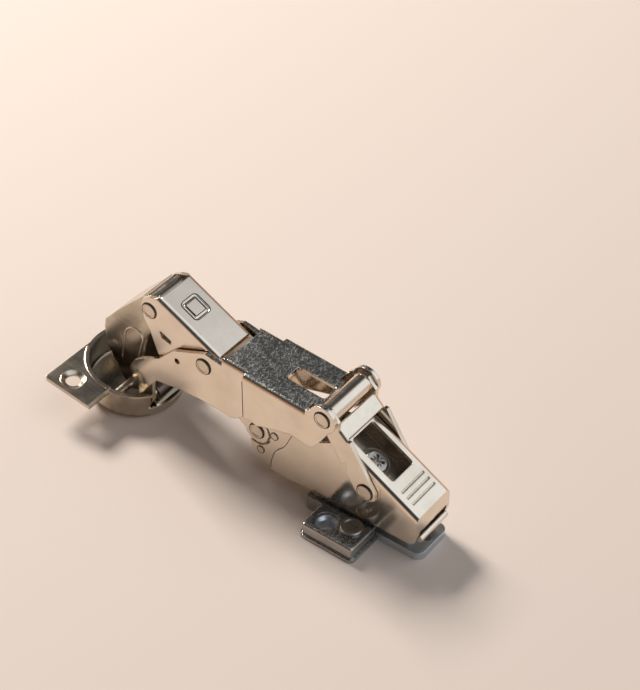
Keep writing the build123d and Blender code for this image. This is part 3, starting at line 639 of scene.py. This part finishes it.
rim_bead = [
    (0.00050, -0.00010), (0.00042, 0.00012), (0.00018, 0.00024), (-0.00018, 0.00024),
    (-0.00042, 0.00012), (-0.00050, -0.00010),
]
rim_dirt = [(0.00085, -0.00006), (0.00085, 0.00005), (0.00052, 0.00005), (0.00052, -0.00006)]
round_bead = np.linspace(0.0, 2.0 * np.pi, 9)[:-1]
sink_bead = [(SINK_RIM_R + 0.00025 * np.cos(v), 0.00014 * np.sin(v)) for v in round_bead]
for side, sign in (("near", -1.0), ("far", 1.0)):
    a = np.radians(np.linspace(RIM_FROM, RIM_TO, 33)) * sign
    away = np.cos(a)[:, None] * cup_along + np.sin(a)[:, None] * cup_over
    arc = cup_mouth + RIM_R * away
    out = np.tile(cup_out, (len(a), 1))
    # The bright bead is the rim; the thin dark line beside it is painted shade.
    for label, shape, used in (
        ("mouth_rim", rim_bead, bright_nickel),
        ("mouth_line", rim_dirt, seam_shade),
    ):
        made = carried(f"{label}_{side}", arc, away, out, shape, False)
        made.data.materials.append(used)
        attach(made, "hinge_cup")
    hole = cup_mouth + HOLE_BACK * cup_along + sign * HOLE_SIDE * cup_over
    hole_rim = turned(f"hole_rim_{side}", sink_bead, hole, cup_out)
    hole_rim.data.materials.append(bright_nickel)
    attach(hole_rim, "hinge_cup")
LINK_HALF = 0.0070
ARCH_R = 0.00036
side_bead("arch_bead", ARCH, LINK_HALF, ARCH_R, bright_nickel, "link")
ARCH_CENTRE = (-0.0908, 0.0225)
ARCH_SHRINK = (0.84, 0.94)
inside_arch = [
    (ARCH_CENTRE[0] + (x - ARCH_CENTRE[0]) * ARCH_SHRINK[0],
     ARCH_CENTRE[1] + (z - ARCH_CENTRE[1]) * ARCH_SHRINK[1])
    for x, z in ARCH
]
SHADE_HALF = LINK_HALF - 0.0004
side_bead("arch_shade", inside_arch, SHADE_HALF, ARCH_R, seam_shade, "link")
LINK_TOP = np.array([-0.0797, 0.0494])
ROLL_R = 0.0050
ROLL_HALF = 0.0068
ROLL_BAND_HALF_WIDTH = 0.00028
# Three thin dark strips of painted shade across the roll at the link's top.
for label, degrees in (("front", 78.0), ("middle", 104.0), ("back", 131.0)):
    turn = np.radians(degrees)
    spot = LINK_TOP + ROLL_R * np.array([np.cos(turn), np.sin(turn)])
    seam_y = np.linspace(-ROLL_HALF, ROLL_HALF, 9)
    seam_line = np.stack([np.full(9, spot[0]), seam_y, np.full(9, spot[1])], axis=-1)
    out = np.tile([np.cos(turn), 0.0, np.sin(turn)], (9, 1))
    across = np.tile([-np.sin(turn), 0.0, np.cos(turn)], (9, 1))
    strip = [
        (-ROLL_BAND_HALF_WIDTH, -0.0001), (ROLL_BAND_HALF_WIDTH, -0.0001),
        (ROLL_BAND_HALF_WIDTH * 0.7, 0.00009), (-ROLL_BAND_HALF_WIDTH * 0.7, 0.00009),
    ]
    roll_shade_band = carried(f"roll_shade_band_{label}", seam_line, across, out, strip, False)
    roll_shade_band.data.materials.append(seam_shade)
    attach(roll_shade_band, "link")


# Plate wings and inner channel: thicker pressings, tumbled and plated dark, with the
# wings' flat tops given pale scuffs like the long lever's, over the same kind of painted shade.
WING = (0.46, 0.45, 0.42)
WING_DULL = (0.30, 0.29, 0.27)
dark_nickel = plated("dark_nickel", WING, WING_DULL, 0.18, 0.7, 0.5, 0.3, 0.3)
# The darker colour is painted shade on the wings' top faces; the pale scuffs are wear.
WING_TOP_SHADE = (0.30, 0.32, 0.34)
WING_SCUFF = (0.66, 0.67, 0.66)
scuffed_shaded_top(dark_nickel, WING_TOP_SHADE, WING_SCUFF, 0.9)
finish(dark_nickel, "plate_wings")
CHANNEL = (0.50, 0.42, 0.33)
CHANNEL_DULL = (0.26, 0.20, 0.15)
channel_nickel = plated("channel_nickel", CHANNEL, CHANNEL_DULL, 0.27, 0.8, 0.5, 0.3, 0.35)
finish(channel_nickel, "inner_channel")


# Rail of the mounting plate: die-cast zinc with its bluish passivated skin, less
# glossy than the plated sheet and screwed down through the wings.
ZINC = (0.64, 0.69, 0.74)
ZINC_DULL = (0.46, 0.50, 0.54)
cast_zinc = plated("cast_zinc", ZINC, ZINC_DULL, 0.34, 0.6, 0.15, 0.2, 0.3)
finish(cast_zinc, "plate_base")


# Rivets and pins: plated wire, their heads spun flat over the sheet. A thin dark ring
# of painted shade is laid in the groove round each head.
RIVET = (0.74, 0.64, 0.53)
RIVET_DULL = (0.52, 0.43, 0.34)
rivet_nickel = plated("rivet_nickel", RIVET, RIVET_DULL, 0.22, 0.6, 0.3, 0.2, 0.3, 0.0002)
finish(
    rivet_nickel, "side_rivets", "channel_rivet", "rear_link_pin", "arm_rear_rivets",
    "lever_rear_rivets", "arm_front_pin", "cross_pin", "link_top_pin", "cup_lever_pin",
    "cup_link_pins", "release_pin",
)
HEAD_R = 0.0029
HEAD_T = 0.00045
for label, x, z, face, lift, body in (
    ("arm_front", -0.0347, 0.0206, 0.00860, 0.00005, "arm"),
    ("arm_rear", 0.0109, 0.0217, 0.01070, 0.00005, "arm"),
    ("lever_rear", -0.0051, 0.0453, 0.01230, 0.0, "long"),
    ("cross", -0.0551, 0.0394, 0.01065, 0.00005, "upper"),
    ("link_top", -0.0797, 0.0494, 0.00860, 0.0, "upper"),
):
    top = lift + HEAD_T
    collar = [
        (HEAD_R - 0.00004, -0.00003), (HEAD_R + 0.00030, -0.00003),
        (HEAD_R + 0.00026, 0.00006), (HEAD_R + 0.00006, 0.00012),
        (HEAD_R + 0.00004, top - 0.00004), (HEAD_R - 0.00004, top + 0.00003),
        (HEAD_R - 0.00024, top + 0.00003), (HEAD_R - 0.00026, top - 0.00006),
    ]
    for side, sign in (("near", -1.0), ("far", 1.0)):
        ring = turned(f"{label}_ring_{side}", collar, (x, sign * face, z), (0.0, sign, 0.0))
        ring.data.materials.append(seam_shade)
        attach(ring, body)
# Thin rings round pressed holes: near-black painted shade, except the dimple's, which is bright
# metal.
for label, x, z, face, radius, body in (
    ("nose_upper", -0.0273, 0.0222, 0.00885, 0.0014, "arm"),
    ("nose_lower", -0.0332, 0.0129, 0.00885, 0.0014, "arm"),
    ("channel", 0.0099, 0.0112, 0.00910, 0.0014, "arm"),
    ("dimple", -0.0986, 0.0246, 0.00700, 0.0009, "link"),
):
    a = np.linspace(0.0, 2.0 * np.pi, 8, endpoint=False)
    bead = np.stack([radius + 0.00013 * np.cos(a), 0.00009 * np.sin(a)], axis=-1)
    for side, sign in (("near", -1.0), ("far", 1.0)):
        ring = turned(f"{label}_ring_{side}", bead, (x, sign * face, z), (0.0, sign, 0.0))
        ring.data.materials.append(rivet_nickel if label == "dimple" else seam_shade)
        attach(ring, body)


# Screws: the depth screw in the arm's well, which stands in a double ring pressed up
# in the channel's floor, and the cam screw in the near wing. Both are steel, plated,
# with their cross recess a little worn.
SCREW = (0.58, 0.54, 0.49)
SCREW_DULL = (0.32, 0.29, 0.25)
screw_steel = plated("screw_steel", SCREW, SCREW_DULL, 0.24, 0.7, 0.3, 0.3, 0.3, 0.0002)
finish(screw_steel, "height_cam_screw", "depth_screw")
ARM_FRONT = np.array([0.0005, 0.0365])
ARM_REAR = np.array([0.0284, 0.0209])
SCREW_ALONG = 0.012
SEAT_DEPTH = 0.008
down_arm = (ARM_REAR - ARM_FRONT) / np.linalg.norm(ARM_REAR - ARM_FRONT)
out_of_arm = np.array([-down_arm[1], down_arm[0]])
screw_seat = ARM_FRONT + SCREW_ALONG * down_arm - SEAT_DEPTH * out_of_arm
for label, radius in (("inner", 0.0046), ("outer", 0.0054)):
    a = np.linspace(0.0, np.pi, 7)
    hump = [(radius + 0.00028 * np.cos(t), 0.00030 * np.sin(t)) for t in a]
    hump += [(radius - 0.00028, -0.0001), (radius + 0.00028, -0.0001)]
    seat = (screw_seat[0], 0.0, screw_seat[1])
    ridge = turned(f"screw_ridge_{label}", hump, seat, (out_of_arm[0], 0.0, out_of_arm[1]))
    ridge.data.materials.append(channel_nickel)
    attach(ridge, "mounting_plate")


# Springs: hard-drawn wire wound close round the cup's lever pin, and round the pin of
# the release lever, where one end runs forward to rest on the channel's floor.
WIRE = (0.34, 0.31, 0.28)
WIRE_DULL = (0.17, 0.14, 0.12)
spring_wire = plated("spring_wire", WIRE, WIRE_DULL, 0.28, 0.5, 0.2, 0.1, 0.2, 0.0001)
PITCH = 2.08
TURN_STEPS = 26


def coil(name, centre, radius, wire, half, tail):
    """A coil round Y: the middle of the wire is at centre + radius (-cos t, sin t) with
    Y rising evenly with t, by about PITCH wire radii a turn, and its last turn leaves
    straight along the tangent for the tail's length. The wire is a circle across that
    path."""
    turns = round(2.0 * (half - wire) / (PITCH * wire))
    t = np.linspace(-np.pi / 2.0 - 2.0 * np.pi * turns, -np.pi / 2.0, TURN_STEPS * turns + 1)
    y = np.linspace(-half + wire, half - wire, len(t))
    line = np.stack([centre[0] - radius * np.cos(t), y, centre[1] + radius * np.sin(t)], axis=-1)
    if tail > 0.0:
        on = line[-1] - line[-2]
        on = np.array([on[0], 0.0, on[2]]) / np.hypot(on[0], on[2])
        line = np.concatenate([line, line[-1] + np.linspace(0.0, tail, 9)[1:, None] * on])
    way = np.gradient(line, axis=0)
    way /= np.linalg.norm(way, axis=1, keepdims=True)
    out = np.cross(way, [0.0, 1.0, 0.0])
    out /= np.linalg.norm(out, axis=1, keepdims=True)
    rise = np.cross(out, way)
    a = np.linspace(0.0, 2.0 * np.pi, 10, endpoint=False)[None, :, None]
    circle = np.cos(a) * out[:, None, :] + np.sin(a) * rise[:, None, :]
    return wrapped(name, line[:, None, :] + wire * circle, False)


LEVER_PIN = (-0.0841, 0.0078)
CLOSING_R = 0.0022
CLOSING_WIRE_R = 0.00039
CLOSING_HALF = 0.005
closing_coil = coil("closing_coil", LEVER_PIN, CLOSING_R, CLOSING_WIRE_R, CLOSING_HALF, 0.0)
closing_coil.data.materials.append(spring_wire)
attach(closing_coil, "hinge_cup")
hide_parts("cup_spring")
RELEASE_PIN = (0.0206, 0.0132)
RETURN_R = 0.00158
RETURN_WIRE_R = 0.0004
RETURN_TAIL = 0.0059
spring_half = float(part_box("release_spring")[1][1])
return_coil = coil("return_coil", RELEASE_PIN, RETURN_R, RETURN_WIRE_R, spring_half, RETURN_TAIL)
return_coil.data.materials.append(spring_wire)
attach(return_coil, "mounting_plate")
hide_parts("release_spring")
